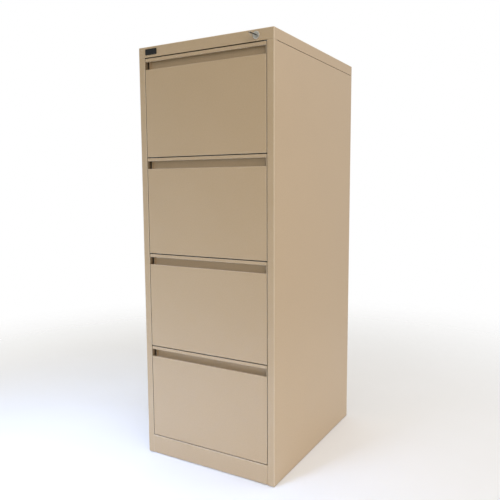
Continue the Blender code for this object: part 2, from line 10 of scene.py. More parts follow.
import bmesh
import bpy
import numpy as np
from mathutils import Matrix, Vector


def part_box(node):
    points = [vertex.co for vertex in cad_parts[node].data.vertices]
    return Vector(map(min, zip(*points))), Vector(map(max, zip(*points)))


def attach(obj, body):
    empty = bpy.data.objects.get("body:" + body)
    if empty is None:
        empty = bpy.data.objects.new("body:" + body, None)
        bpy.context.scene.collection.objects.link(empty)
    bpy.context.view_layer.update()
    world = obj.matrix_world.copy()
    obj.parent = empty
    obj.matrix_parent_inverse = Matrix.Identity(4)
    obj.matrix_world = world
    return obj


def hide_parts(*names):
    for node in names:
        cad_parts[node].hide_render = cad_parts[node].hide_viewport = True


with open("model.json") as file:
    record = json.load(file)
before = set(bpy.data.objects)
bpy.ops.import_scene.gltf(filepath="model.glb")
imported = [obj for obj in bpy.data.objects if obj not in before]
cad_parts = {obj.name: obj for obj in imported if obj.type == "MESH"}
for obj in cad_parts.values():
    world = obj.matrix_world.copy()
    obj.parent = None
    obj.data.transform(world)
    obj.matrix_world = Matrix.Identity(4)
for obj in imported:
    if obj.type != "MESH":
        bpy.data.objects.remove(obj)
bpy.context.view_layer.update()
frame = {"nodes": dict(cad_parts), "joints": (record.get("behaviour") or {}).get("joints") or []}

# ---- sizes of the folded steel ----------------------------------------------------------
case_sheet = 0.0012
drawer_sheet = 0.0010
case_bend = 0.0024
stile_bend = 0.0013
drawer_bend = 0.0012
tub_bend = 0.0020
runner_bend = 0.0016
stile_return = 0.0200
rear_flange = 0.0200
groove_setback = 0.0150
groove_depth = 0.0013
lip_height = 0.0095
lip_return = 0.0090
recess_height = 0.0240
face_hem = 0.0050
rim_hook = 0.0050
end_hem = 0.0060
rail_width = 0.0080
catch_gap = 0.0015
catch_height = 0.0100
catch_below_rim = 0.0500
catch_thickness = 0.0020
catch_rounding = 0.0009
catch_bevel = 0.0003
runner_sheet = 0.0012
bend_steps = 6

# Painted shade: how dark the steel is painted where it faces the narrow gap beside a drawer: 1 is the
# darkest.
stile_painted_shade = 0.85
front_painted_shade = 0.60
drawer_numbers = (1, 2, 3, 4)


# ---- surfaces ---------------------------------------------------------------------------
touching = 1e-6


def grid_quads(rows, columns, closed=False):
    """Corner numbers of each cell of a grid. Closed joins its last column to its first."""
    row = np.arange(rows - 1)[:, None]
    column = np.arange(columns if closed else columns - 1)[None, :]
    beside = (column + 1) % columns
    corners = (
        row * columns + column,
        row * columns + beside,
        (row + 1) * columns + beside,
        (row + 1) * columns + column,
    )
    return np.stack(corners, axis=-1).reshape(-1, 4)


def quad_normals(points, quads):
    """Cross product of each cell's diagonals, as long as twice the cell's area."""
    a, b, c, d = (points[quads[:, i]] for i in range(4))
    return np.cross(c - a, d - b)


def turned_out(points, quads, towards=None):
    """Cells wound so that they face the given way, or outwards where the surface is closed.

    A closed surface holds a positive volume, the sum of each cell's centre dotted with its
    normal, when its cells face outwards.
    """
    normals = quad_normals(points, quads)
    if towards is None:
        centres = points[quads].mean(axis=1) - points.mean(axis=0)
        facing = np.sum(centres * normals)
    else:
        facing = normals.sum(axis=0) @ np.array(towards)
    return quads if facing > 0 else quads[:, ::-1]


def folded(corners, radius, steps=bend_steps):
    """A bent strip's profile: each inner corner becomes an arc that touches both its sides.

    The arc starts and ends at radius * tan(turn / 2) from the corner. The radius is one
    number, or one for each inner corner. Gives the points and, for each, how far it is on a
    fold: the sine of its share of the arc's half turn, so 1 in the middle and 0 on a flat.
    """
    corners = np.array(corners, float)
    radii = np.broadcast_to(radius, len(corners) - 2)
    points = [corners[:1]]
    bends = [np.zeros(1)]
    for before, corner, after, bend in zip(corners, corners[1:], corners[2:], radii):
        inward = (corner - before) / np.linalg.norm(corner - before)
        outward = (after - corner) / np.linalg.norm(after - corner)
        turn = math.atan2(inward[0] * outward[1] - inward[1] * outward[0], inward @ outward)
        start = corner - inward * bend * math.tan(abs(turn) / 2)
        side = np.array([-inward[1], inward[0]]) * math.copysign(1.0, turn)
        angle = np.linspace(0, abs(turn), steps + 1)[:, None]
        points.append(start + bend * (np.sin(angle) * inward + (1 - np.cos(angle)) * side))
        bends.append(np.sin(np.linspace(0, math.pi, steps + 1)))
    points.append(corners[-1:])
    bends.append(np.zeros(1))
    return np.concatenate(points), np.concatenate(bends)


def carried(profile, bends, axis, stations, towards):
    """A profile carried along X, Y or Z. The profile holds the other two coordinates."""
    stations = np.asarray(stations, float)
    others = [i for i in range(3) if i != axis]
    points = np.empty((len(stations), len(profile), 3))
    points[..., others[0]] = profile[:, 0]
    points[..., others[1]] = profile[:, 1]
    points[..., axis] = stations[:, None]
    flags = np.broadcast_to(bends, points.shape[:2]).reshape(-1)
    points = points.reshape(-1, 3)
    quads = grid_quads(len(stations), len(profile))
    return points, turned_out(points, quads, towards), flags


def edge_lines(low, high, radius, round_low, round_high, between=()):
    """Grid lines across one side of a rounded box.

    Near a rounded edge they lie at radius * tan(angle) past the flat, for even angles up to
    45 degrees, so that the rounding below spaces them evenly round the arc.
    """
    reach = radius * np.tan(np.linspace(0, math.pi / 4, bend_steps // 2 + 1))
    lines = [np.array([low, high], float), np.array(between, float)]
    lines.append(low + radius - reach if round_low else np.array([low]))
    lines.append(high - radius + reach if round_high else np.array([high]))
    return np.unique(np.round(np.concatenate(lines), 9))


def rounded_pan(low, high, radius, open_axis, open_high, lines=None, holes=None, painted_slot_shade=0.0):
    """A box of sheet steel without one side, rounded along its folds.

    Each side is a flat grid. A point p moves to c + radius * (p - c) / |p - c|, where c is
    the nearest point of the box shrunk by the radius, so flats stay and folds turn round.
    holes takes a side, as (axis, high), to a test of its cells' centres for the cells to leave out.
    The last argument is how dark the sides are painted past their folds, a painted shade for edges
    that face a narrow gap. The edge value is twice the sum of the products of the direction's parts,
    so 1 in a fold's middle.
    """
    low, high = np.array(low, float), np.array(high, float)
    core_low, core_high = low + radius, high - radius
    if open_high:
        core_high[open_axis] = high[open_axis]
    else:
        core_low[open_axis] = low[open_axis]
    lines, holes = lines or {}, holes or {}
    patches = []
    for axis in range(3):
        for is_high in (False, True):
            if axis == open_axis and is_high == open_high:
                continue
            across = [i for i in range(3) if i != axis]
            spans = [
                edge_lines(
                    low[i],
                    high[i],
                    radius,
                    not (i == open_axis and not open_high),
                    not (i == open_axis and open_high),
                    lines.get(i, ()),
                )
                for i in across
            ]
            flat = np.empty((len(spans[0]), len(spans[1]), 3))
            flat[..., across[0]] = spans[0][:, None]
            flat[..., across[1]] = spans[1][None, :]
            flat[..., axis] = high[axis] if is_high else low[axis]
            flat = flat.reshape(-1, 3)
            quads = grid_quads(len(spans[0]), len(spans[1]))
            outward = np.zeros(3)
            outward[axis] = 1 if is_high else -1
            quads = turned_out(flat, quads, outward)
            test = holes.get((axis, is_high))
            if test:
                quads = quads[~test(flat[quads].mean(axis=1))]
            nearest = np.clip(flat, core_low, core_high)
            away = flat - nearest
            length = np.linalg.norm(away, axis=1, keepdims=True)
            points = nearest + radius * away / np.where(length > 0, length, 1)
            share = np.abs(away) / np.where(length > 0, length, 1)
            pairs = share[:, 0] * share[:, 1] + share[:, 1] * share[:, 2]
            pairs = pairs + share[:, 2] * share[:, 0]
            flags = np.minimum(2 * pairs, 1.0)
            closed = low[open_axis] if open_high else high[open_axis]
            # Painted shade: returns past the fold, which face a narrow gap, are painted dark.
            if painted_slot_shade and axis != open_axis:
                deep = np.abs(points[:, open_axis] - closed) > radius - touching
                flags = np.where(deep, -painted_slot_shade, flags)
            patches.append((points, quads, flags))
    return patches


def spun(centre, profile, steps=48):
    """A closed profile of (radius, y) pairs spun about the line through centre along Y."""
    profile = np.array(profile, float)
    angle = np.linspace(0, 2 * math.pi, steps, endpoint=False)[None, :]
    points = np.stack(
        (
            centre[0] + profile[:, :1] * np.cos(angle),
            np.broadcast_to(profile[:, 1:], (len(profile), steps)),
            centre[2] + profile[:, :1] * np.sin(angle),
        ),
        axis=-1,
    ).reshape(-1, 3)
    quads = grid_quads(len(profile), steps, closed=True)
    return points, turned_out(points, quads), np.zeros(len(points))


def rounded_outline(half_width, half_height, radius, steps=6):
    """A rectangle with round corners: in each corner, its centre plus radius * (cos, sin)."""
    quarter = np.linspace(0, math.pi / 2, steps + 1)
    angle = (np.arange(4)[:, None] * math.pi / 2 + quarter).reshape(-1)
    middle = (np.arange(4) + 0.5) * math.pi / 2
    x = np.repeat(np.sign(np.cos(middle)), steps + 1) * (half_width - radius)
    y = np.repeat(np.sign(np.sin(middle)), steps + 1) * (half_height - radius)
    return np.stack((x + radius * np.cos(angle), y + radius * np.sin(angle)), axis=-1)


def stacked(rings, towards=None):
    """Rings of equally many points joined one to the next."""
    rings = np.array(rings, float)
    points = rings.reshape(-1, 3)
    quads = grid_quads(rings.shape[0], rings.shape[1], closed=True)
    return points, turned_out(points, quads, towards), np.zeros(len(points))


# ---- pieces -----------------------------------------------------------------------------
weld_distance = 0.000002
smooth_angle = math.radians(32)


def piece(name, patches, body, finish, hides=(), sheet=None):
    """One piece from its patches: welded, given its sheet's thickness, shaded and placed.

    A piece without a sheet thickness is solid, and its open ends are closed.
    """
    counts = np.cumsum([0] + [len(points) for points, _, _ in patches])
    points = np.concatenate([points for points, _, _ in patches])
    quads = np.concatenate([quads + start for (_, quads, _), start in zip(patches, counts)])
    flags = np.concatenate([flags for _, _, flags in patches])
    mesh = bpy.data.meshes.new(name)
    mesh.from_pydata(points.tolist(), [], quads.tolist())
    # Each point's edge value: above 0 on folds, for wear and a painted highlight; below 0 for painted
    # shade in narrow gaps.
    edge = mesh.attributes.new("edge", "FLOAT", "POINT")
    edge.data.foreach_set("value", flags.astype(np.float32))
    bm = bmesh.new()
    bm.from_mesh(mesh)
    bmesh.ops.remove_doubles(bm, verts=bm.verts, dist=weld_distance)
    bmesh.ops.dissolve_degenerate(bm, edges=bm.edges, dist=weld_distance / 10)
    if sheet is None:
        bmesh.ops.holes_fill(bm, edges=bm.edges, sides=0)
    bm.to_mesh(mesh)
    bm.free()
    made = bpy.data.objects.new(name, mesh)
    bpy.context.scene.collection.objects.link(made)
    if sheet is not None:
        wall = made.modifiers.new("sheet", "SOLIDIFY")
        wall.thickness = sheet
        wall.offset = -1.0
        wall.use_even_offset = True
        wall.use_quality_normals = True
        view = bpy.context.evaluated_depsgraph_get()
        solid = bpy.data.meshes.new_from_object(made.evaluated_get(view))
        made.modifiers.clear()
        made.data = solid
    made.data.shade_smooth()
    made.data.set_sharp_from_angle(angle=smooth_angle)
    flatten = made.modifiers.new("flat faces stay flat", "WEIGHTED_NORMAL")
    flatten.keep_sharp = True
    made.data.materials.clear()
    made.data.materials.append(finish)
    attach(made, body)
    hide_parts(*hides)
    return made


# ---- finishes ---------------------------------------------------------------------------
# Folds are painted paler, partly as wear where the coat pulls thin and partly as a painted highlight.
fold_wear_and_highlight = 0.55
fold_wear_and_highlight_colour = "#E6D7BD"
# Painted shade: the dark brown given to steel that faces a narrow gap.
painted_slot_shade_colour = "#3E2E1E"


def colour(code):
    """An sRGB hex colour as linear values: ((c + 0.055) / 1.055) ** 2.4 above the toe."""
    values = [int(code[i : i + 2], 16) / 255 for i in (1, 3, 5)]
    linear = [v / 12.92 if v <= 0.04045 else ((v + 0.055) / 1.055) ** 2.4 for v in values]
    return (*linear, 1.0)


def add(tree, kind, settings=None, inputs=None):
    """Adds one node. An input is a value, or another node's output to link from."""
    made = tree.nodes.new(kind)
    for name, value in (settings or {}).items():
        setattr(made, name, value)
    for name, value in (inputs or {}).items():
        if isinstance(value, bpy.types.NodeSocket):
            tree.links.new(value, made.inputs[name])
        else:
            made.inputs[name].default_value = value
    return made


def new_finish(name, **values):
    """A material with its Principled shader's own sockets set. Gives it, its tree and shader."""
    material = bpy.data.materials.new(name)
    material.use_nodes = True
    tree = material.node_tree
    shader = tree.nodes["Principled BSDF"]
    for socket, value in values.items():
        shader.inputs[socket.replace("_", " ")].default_value = value
    return material, tree, shader


def powder_coat(name, base, thin, roughness, peel):
    """Beige polyester powder coat, sprayed dry and baked: a soft gloss over orange peel.

    The peel's bumps are about 2.5 mm across and specks of tone about 4 mm. The coat's tone drifts
    over about 140 mm. Folds are painted a little paler, partly as wear where the coat pulls thin and
    partly as a painted highlight where the rounding catches light. Steel that faces a narrow gap is
    painted dark brown, a painted shade for the gap. Faint waves in the sheet, about 200 mm long, bend
    what it reflects.
    """
    material, tree, shader = new_finish(
        name, Roughness=roughness, IOR=1.5, Coat_Weight=0.5, Coat_Roughness=0.36
    )
    where = add(tree, "ShaderNodeTexCoord").outputs["Object"]
    cloud = add(
        tree, "ShaderNodeTexNoise", None, {"Vector": where, "Scale": 7.0, "Detail": 3.0}
    ).outputs["Fac"]
    speck = add(
        tree, "ShaderNodeTexNoise", None, {"Vector": where, "Scale": 260.0, "Detail": 4.0}
    ).outputs["Fac"]
    # The edge attribute: above 0 on folds, for wear and a painted highlight; below 0 where painted
    # shade darkens a narrow gap.
    edge = add(tree, "ShaderNodeAttribute", {"attribute_name": "edge"}).outputs["Fac"]
    tone = add(
        tree,
        "ShaderNodeMix",
        {"data_type": "RGBA", "blend_type": "MIX"},
        {0: cloud, 6: colour(base), 7: colour(thin)},
    )
    dusted = add(
        tree,
        "ShaderNodeMapRange",
        None,
        {"Value": speck, "From Min": 0.3, "From Max": 0.7, "To Min": 0.965, "To Max": 1.03},
    ).outputs["Result"]
    mottled = add(
        tree,
        "ShaderNodeMix",
        {"data_type": "RGBA", "blend_type": "MULTIPLY"},
        {0: 1.0, 6: tone.outputs[2], 7: dusted},
    )
    # Wear and painted highlight: folds turn paler.
    worn_and_highlighted = add(
        tree,
        "ShaderNodeMath",
        {"operation": "MULTIPLY", "use_clamp": True},
        {0: edge, 1: fold_wear_and_highlight},
    ).outputs[0]
    edged = add(
        tree,
        "ShaderNodeMix",
        {"data_type": "RGBA", "blend_type": "MIX"},
        {0: worn_and_highlighted, 6: mottled.outputs[2], 7: colour(fold_wear_and_highlight_colour)},
    )
    # Painted shade: steel that faces a narrow gap turns dark brown.
    painted_slot_shade = add(
        tree,
        "ShaderNodeMath",
        {"operation": "MULTIPLY", "use_clamp": True},
        {0: edge, 1: -1.0},
    ).outputs[0]
    shaded = add(
        tree,
        "ShaderNodeMix",
        {"data_type": "RGBA", "blend_type": "MIX"},
        {0: painted_slot_shade, 6: edged.outputs[2], 7: colour(painted_slot_shade_colour)},
    )
    tree.links.new(shaded.outputs[2], shader.inputs["Base Color"])
    sheen = add(
        tree,
        "ShaderNodeMapRange",
        None,
        {
            "Value": cloud,
            "From Min": 0.3,
            "From Max": 0.7,
            "To Min": roughness - 0.04,
            "To Max": roughness + 0.05,
        },
    ).outputs["Result"]
    tree.links.new(sheen, shader.inputs["Roughness"])
    orange = add(
        tree, "ShaderNodeTexNoise", None, {"Vector": where, "Scale": 400.0, "Detail": 2.0}
    ).outputs["Fac"]
    waves = add(
        tree, "ShaderNodeTexNoise", None, {"Vector": where, "Scale": 5.0, "Detail": 1.0}
    ).outputs["Fac"]
    broad = add(
        tree, "ShaderNodeBump", None, {"Height": waves, "Strength": 1.0, "Distance": 0.0006}
    )
    fine = add(
        tree,
        "ShaderNodeBump",
        None,
        {
            "Height": orange,
            "Strength": 1.0,
            "Distance": peel,
            "Normal": broad.outputs["Normal"],
        },
    )
    tree.links.new(fine.outputs["Normal"], shader.inputs["Normal"])
    return material


def zinc_plate(name, base, streak_axis):
    """Bright zinc on cold-rolled strip: a cool grey metal with fine drawn lines along it.

    The lines are about 0.3 mm apart and 80 mm long, and the plating has faint clouds about
    30 mm across.
    """
    material, tree, shader = new_finish(name, Metallic=1.0, Roughness=0.32)
    where = add(tree, "ShaderNodeTexCoord").outputs["Object"]
    stretch = [3000.0, 3000.0, 3000.0]
    stretch[streak_axis] = 12.0
    drawn = add(tree, "ShaderNodeMapping", None, {"Vector": where, "Scale": stretch})
    lines = add(
        tree,
        "ShaderNodeTexNoise",
        None,
        {"Vector": drawn.outputs["Vector"], "Scale": 1.0, "Detail": 2.0},
    ).outputs["Fac"]
    cloud = add(
        tree, "ShaderNodeTexNoise", None, {"Vector": where, "Scale": 35.0, "Detail": 3.0}
    ).outputs["Fac"]
    tone = add(
        tree,
        "ShaderNodeMix",
        {"data_type": "RGBA", "blend_type": "MIX"},
        {0: cloud, 6: colour(base), 7: colour("#D9DBDA")},
    )
    tree.links.new(tone.outputs[2], shader.inputs["Base Color"])
    rough = add(
        tree,
        "ShaderNodeMapRange",
        None,
        {"Value": lines, "From Min": 0.25, "From Max": 0.75, "To Min": 0.24, "To Max": 0.44},
    ).outputs["Result"]
    tree.links.new(rough, shader.inputs["Roughness"])
    bump = add(
        tree, "ShaderNodeBump", None, {"Height": lines, "Strength": 0.5, "Distance": 0.00004}
    )
    tree.links.new(bump.outputs["Normal"], shader.inputs["Normal"])
    return material


def galvanised(name):
    """Hot-dip galvanised sheet: zinc crystals 8 to 12 mm across, each with its own grey."""
    material, tree, shader = new_finish(name, Metallic=1.0, Roughness=0.42)
    where = add(tree, "ShaderNodeTexCoord").outputs["Object"]
    spangle = add(
        tree,
        "ShaderNodeTexVoronoi",
        {"feature": "F1"},
        {"Vector": where, "Scale": 100.0, "Randomness": 1.0},
    )
    crystal = add(
        tree, "ShaderNodeSeparateColor", None, {"Color": spangle.outputs["Color"]}
    ).outputs["Red"]
    tone = add(
        tree,
        "ShaderNodeMix",
        {"data_type": "RGBA", "blend_type": "MIX"},
        {0: crystal, 6: colour("#A9ADAE"), 7: colour("#CFD2D1")},
    )
    tree.links.new(tone.outputs[2], shader.inputs["Base Color"])
    rough = add(
        tree,
        "ShaderNodeMapRange",
        None,
        {"Value": crystal, "To Min": 0.34, "To Max": 0.52},
    ).outputs["Result"]
    tree.links.new(rough, shader.inputs["Roughness"])
    return material


def nickel_plate(name, roughness):
    """Nickel over brass, plated: a warm bright metal with faint scuffs about 1 mm across."""
    material, tree, shader = new_finish(name, Metallic=1.0, Roughness=roughness)
    where = add(tree, "ShaderNodeTexCoord").outputs["Object"]
    scuff = add(
        tree, "ShaderNodeTexNoise", None, {"Vector": where, "Scale": 900.0, "Detail": 3.0}
    ).outputs["Fac"]
    tone = add(
        tree,
        "ShaderNodeMix",
        {"data_type": "RGBA", "blend_type": "MIX"},
        {0: scuff, 6: colour("#D8D2C8"), 7: colour("#ECE8E1")},
    )
    tree.links.new(tone.outputs[2], shader.inputs["Base Color"])
    rough = add(
        tree,
        "ShaderNodeMapRange",
        None,
        {"Value": scuff, "To Min": roughness - 0.06, "To Max": roughness + 0.08},
    ).outputs["Result"]
    tree.links.new(rough, shader.inputs["Roughness"])
    return material


def black_moulding(name, roughness, grain):
    """Black moulded plastic: nearly even, with a fine grain about 0.5 mm across.

    The badge is polished, so its grain hardly rises, and the key's head is left matt.
    """
    material, tree, shader = new_finish(name, Roughness=roughness, IOR=1.53)
    where = add(tree, "ShaderNodeTexCoord").outputs["Object"]
    skin = add(
        tree, "ShaderNodeTexNoise", None, {"Vector": where, "Scale": 2000.0, "Detail": 2.0}
    ).outputs["Fac"]
    tone = add(
        tree,
        "ShaderNodeMix",
        {"data_type": "RGBA", "blend_type": "MIX"},
        {0: skin, 6: colour("#08080A"), 7: colour("#101012")},
    )
    tree.links.new(tone.outputs[2], shader.inputs["Base Color"])
    bump = add(
        tree, "ShaderNodeBump", None, {"Height": skin, "Strength": 0.5, "Distance": grain}
    )
    tree.links.new(bump.outputs["Normal"], shader.inputs["Normal"])
    return material


case_coat = powder_coat("beige powder coat, case", "#BEA481", "#C4AB89", 0.44, 0.00012)
drawer_coat = powder_coat("beige powder coat, drawers", "#BEA481", "#C3A986", 0.42, 0.00012)
inner_coat = powder_coat("beige powder coat, thin inside", "#A8906C", "#B09874", 0.48, 0.00008)
runner_plate = zinc_plate("bright zinc plate, runners", "#B9BDBE", 1)
bar_plate = zinc_plate("zinc plate, lock bar", "#B1B4B4", 2)
foot_plate = zinc_plate("zinc plate, feet", "#A9ACAC", 2)
upright_zinc = galvanised("galvanised sheet, uprights")
lock_nickel = nickel_plate("nickel plate, lock", 0.34)
ring_steel = nickel_plate("bright spring steel, key ring", 0.18)
key_black = black_moulding("black moulded nylon, key head", 0.38, 0.00004)
badge_black = black_moulding("black gloss moulding, badge", 0.18, 0.00001)


# ---- case -------------------------------------------------------------------------------
side_rows = 12
case_columns = 8
groove_ramp = 0.0002
lock_hole = 0.0093


def make_side_panels():
    """Each side's profile, from the stile's return round to the rear flange, carried up.

    Past the groove's start the top edge lies lower, which leaves the dark line under the lid.
    """
    for side, sign in (("left", -1), ("right", 1)):
        low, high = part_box(f"{side}_side_panel")
        outer = max(abs(low.x), abs(high.x))
        inner = min(abs(low.x), abs(high.x))
        start = low.y + groove_setback
        corners = [
            (sign * inner, low.y + stile_return),
            (sign * inner, low.y),
            (sign * outer, low.y),
            (sign * outer, high.y),
            (sign * (outer - rear_flange), high.y),
        ]
        profile, bends = folded(corners, (stile_bend, case_bend, case_bend))
        # Painted shade on the stile's return, which faces the gap beside the drawers.
        bends[:2] = -stile_painted_shade
        step = np.array([[sign * outer, start - groove_ramp], [sign * outer, start]])
        place = 1 + 2 * (bend_steps + 1)
        profile = np.insert(profile, place, step, axis=0)
        bends = np.insert(bends, place, np.zeros(2))
        levels = np.linspace(low.z, high.z, side_rows)
        points, quads, flags = carried(profile, bends, 2, levels, (sign, 0, 0))
        on_top = points[:, 2] > high.z - touching
        lowered = on_top & (points[:, 1] >= start - touching)
        points[lowered, 2] -= groove_depth
        piece(
            f"{side}_side",
            [(points, quads, flags)],
            "case",
            case_coat,
            [f"{side}_side_panel"],
            case_sheet,
        )


def hole_patch(centre, y, radius, half, cells, rings_between=4):
    """The sheet between a square hole in a grid and a round hole in the sheet.

    A ray from the centre meets the circle at radius and the square where its larger part is
    half. The points go from one to the other in equal steps.
    """
    side = np.linspace(-half, half, cells + 1)
    bottom = np.stack((side, np.full(cells + 1, -half)), axis=-1)
    square = [bottom[:-1]]
    for _ in range(3):
        bottom = np.stack((-bottom[:, 1], bottom[:, 0]), axis=-1)
        square.append(bottom[:-1])
    square = np.concatenate(square)
    circle = radius * square / np.linalg.norm(square, axis=1, keepdims=True)
    share = np.linspace(0, 1, rings_between)[:, None, None]
    flat = circle + (square - circle) * share
    rings = np.stack(
        (centre[0] + flat[..., 0], np.full(flat.shape[:2], y), centre[2] + flat[..., 1]), axis=-1
    )
    return stacked(rings, (0, -1, 0))


def make_lid():
    """The lid's pan, with the lock's round hole in its front."""
    low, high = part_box("top_lid")
    centre = lock_centre()
    half = 0.0125
    cells = 10
    lines = {
        0: centre[0] + np.linspace(-half, half, cells + 1),
        2: centre[2] + np.linspace(-half, half, cells + 1),
    }

    def in_square(middles):
        return (np.abs(middles[:, 0] - centre[0]) < half) & (
            np.abs(middles[:, 2] - centre[2]) < half
        )

    patches = rounded_pan(low, high, case_bend, 2, False, lines, {(1, False): in_square})
    patches.append(hole_patch(centre, low.y, lock_hole, half, cells))
    piece("lid", patches, "case", case_coat, ["top_lid"], case_sheet)


def make_back_and_plinth():
    """The back and the plinth rail: each a profile of (y, z) carried across."""
    low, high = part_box("back_panel")
    corners = [(low.y, low.z), (high.y, low.z), (high.y, high.z), (low.y, high.z)]
    across = np.linspace(low.x, high.x, case_columns)
    back = carried(*folded(corners, case_bend), 0, across, (0, 1, 0))
    piece("back", [back], "case", inner_coat, ["back_panel"], case_sheet)
    low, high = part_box("plinth_rail")
    corners = [(high.y, high.z), (low.y, high.z), (low.y, low.z), (high.y, low.z)]
    across = np.linspace(low.x, high.x, case_columns)
    rail = carried(*folded(corners, case_bend), 0, across, (0, -1, 0))
    piece("plinth", [rail], "case", case_coat, ["plinth_rail"], case_sheet)


# ---- drawers ----------------------------------------------------------------------------
front_columns = 9
tub_rows = 10
end_columns = 8
runner_rows = 6
end_clearance = 0.0002
end_foot = 0.0120
end_hem_half = 0.0013
end_hem_bend = 0.0012


def make_front(number):
    """Outer skin: a rounded pan with a window, whose two long edges fold inwards."""
    low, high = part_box(f"drawer_{number}_front")
    radius = drawer_bend
    lip_bottom = high.z - lip_height
    face_top = lip_bottom - recess_height
    reach = high.x - radius
    across = np.linspace(-reach, reach, front_columns)
    lines = {0: across, 2: (face_top - radius, lip_bottom + radius)}

    def in_window(middles):
        beside = np.abs(middles[:, 0]) < reach
        above = middles[:, 2] > face_top - radius
        return beside & above & (middles[:, 2] < lip_bottom + radius)

    # Painted shade on the front's returns, which face the gaps round the drawer.
    patches = rounded_pan(
        low, high, radius, 1, True, lines, {(1, False): in_window}, front_painted_shade
    )
    hem = [(low.y, face_top - radius), (low.y, face_top), (low.y + face_hem, face_top)]
    patches.append(carried(*folded(hem, radius), 0, across, (0, 0, 1)))
    fold = [(low.y, lip_bottom + radius), (low.y, lip_bottom), (low.y + lip_return, lip_bottom)]
    patches.append(carried(*folded(fold, radius), 0, across, (0, 0, -1)))
    piece(
        f"drawer_{number}_outer_skin",
        patches,
        f"drawer_{number}",
        drawer_coat,
        [f"drawer_{number}_front"],
        drawer_sheet,
    )


def make_liner(number):
    """Inner skin: a rounded pan, open to the front, whose plate is the recess's back."""
    low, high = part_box(f"drawer_{number}_front_liner")
    across = {0: np.linspace(low.x + drawer_bend, high.x - drawer_bend, front_columns)}
    piece(
        f"drawer_{number}_inner_skin",
        rounded_pan(low, high, drawer_bend, 1, False, across),
        f"drawer_{number}",
        drawer_coat,
        [f"drawer_{number}_front_liner"],
        drawer_sheet,
    )


def make_tub(number):
    """Body: one wrap for the sides, bottom and file rails, two ends with hemmed tops."""
    low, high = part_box(f"drawer_{number}_body")
    rail = -low.x - drawer_sheet
    wall = -low.x - rail_width
    top = high.z - drawer_sheet
    left = [(-rail, top - rim_hook), (-rail, top), (-wall, top), (-wall, low.z)]
    right = [(-x, z) for x, z in reversed(left)]
    along = np.linspace(low.y, high.y, tub_rows)
    patches = [carried(*folded(left + right, tub_bend), 1, along, (0, 0, -1))]
    piece(
        f"drawer_{number}_wrap",
        patches,
        f"drawer_{number}",
        inner_coat,
        [f"drawer_{number}_body"],
        drawer_sheet,
    )
    inside = wall - drawer_sheet - end_clearance
    across = np.linspace(-inside, inside, end_columns)
    bottom = low.z + drawer_sheet + end_clearance
    for name, near, sign in (("front", low.y, -1), ("rear", high.y, 1)):
        turned = near - sign * 2 * end_hem_half
        corners = [
            (near - sign * end_foot, bottom),
            (near, bottom),
            (near, top),
            (turned, top),
            (turned, top - end_hem),
        ]
        end = carried(*folded(corners, end_hem_bend), 0, across, (0, sign, 0))
        piece(
            f"drawer_{number}_{name}_end",
            [end],
            f"drawer_{number}",
            inner_coat,
            [],
            drawer_sheet,
        )


def make_catch(number):
    """Catch on the body's right side: a plate with round corners, over the lock bar's lug."""
    low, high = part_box(f"drawer_{number}_body")
    wall = -low.x - rail_width
    left = wall - drawer_sheet / 2
    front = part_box("lock_bar")[1].y + catch_gap
    middle = ((left + high.x) / 2, high.z - catch_below_rim + catch_height / 2)
    section = (
        (catch_bevel, 0.0),
        (0.0, catch_bevel),
        (0.0, catch_thickness - catch_bevel),
        (catch_bevel, catch_thickness),
    )
    rings = []
    for inset, depth in section:
        outline = rounded_outline(
            (high.x - left) / 2 - inset, catch_height / 2 - inset, catch_rounding - inset
        )
        y = np.full(len(outline), front + depth)
        rings.append(np.stack((middle[0] + outline[:, 0], y, middle[1] + outline[:, 1]), axis=-1))
    piece(
        f"drawer_{number}_catch",
        [stacked(rings)],
        f"drawer_{number}",
        inner_coat,
    )


def make_runners(number):
    """Roll-formed channels: each member's profile of (x, z) carried along Y."""
    bodies = {"outer": "case", "middle": f"runner_{number}", "inner": f"drawer_{number}"}
    for member, body in bodies.items():
        for side, sign in (("left", -1), ("right", 1)):
            node = f"drawer_{number}_runner_{member}_{side}"
            low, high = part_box(node)
            outer = max(abs(low.x), abs(high.x))
            inner = min(abs(low.x), abs(high.x))
            web, tip = (inner, outer) if member == "inner" else (outer, inner)
            corners = [(tip, high.z), (web, high.z), (web, low.z), (tip, low.z)]
            profile, bends = folded([(sign * x, z) for x, z in corners], runner_bend)
            facing = -sign if member == "inner" else sign
            along = np.linspace(low.y, high.y, runner_rows)
            strip = carried(profile, bends, 1, along, (facing, 0, 0))
            piece(
                f"{node}_channel",
                [strip],
                body,
                runner_plate,
                [node],
                runner_sheet,
            )


# ---- lock and key -----------------------------------------------------------------------
lock_barrel_radius = 0.0090
lock_bore = 0.0063
lock_flange_thickness = 0.0020
lock_flange_rounding = 0.0009
lock_bore_bevel = 0.0003
lock_steps = 64
key_tilt = math.radians(20.0)
key_setback = 0.0060
key_head_length = 0.0270
key_head_half_width = 0.0120
key_head_half_thickness = 0.0010
key_hole_radius = 0.0045
key_hole_from_end = 0.0072
key_steps_around = 72
key_steps_across = 20
cushion_power = 0.45
blade_start = -0.0040
blade_end = 0.0213
blade_half_width = 0.0037
blade_half_thickness = 0.0008
blade_stations = 60
bitting_start = 0.0050
bitting_half_depth = 0.0006
bitting_waves = 1400
blade_taper = 0.0030
blade_tip_share = 0.15
ring_lean = math.radians(25.0)
ring_radius = 0.0080
ring_wire_radius = 0.00034
ring_turns = 2


def lock_centre():
    """The lock's axis, from the turning joint in the record."""
    turn = [joint for joint in frame["joints"] if joint["name"] == "lock_turn"][0]
    return np.array(turn["pos_m"], float)


def rounded_corner(radius_at, y_at, size, steps=5):
    """Quarter circle that rounds a turned corner: radius - size * (1 - sin), y + size * (1 - cos)."""
    angle = np.linspace(0, math.pi / 2, steps + 1)
    return np.stack(
        (
            radius_at - size * (1 - np.sin(angle)),
            y_at + size * (1 - np.cos(angle)),
        ),
        axis=-1,
    )


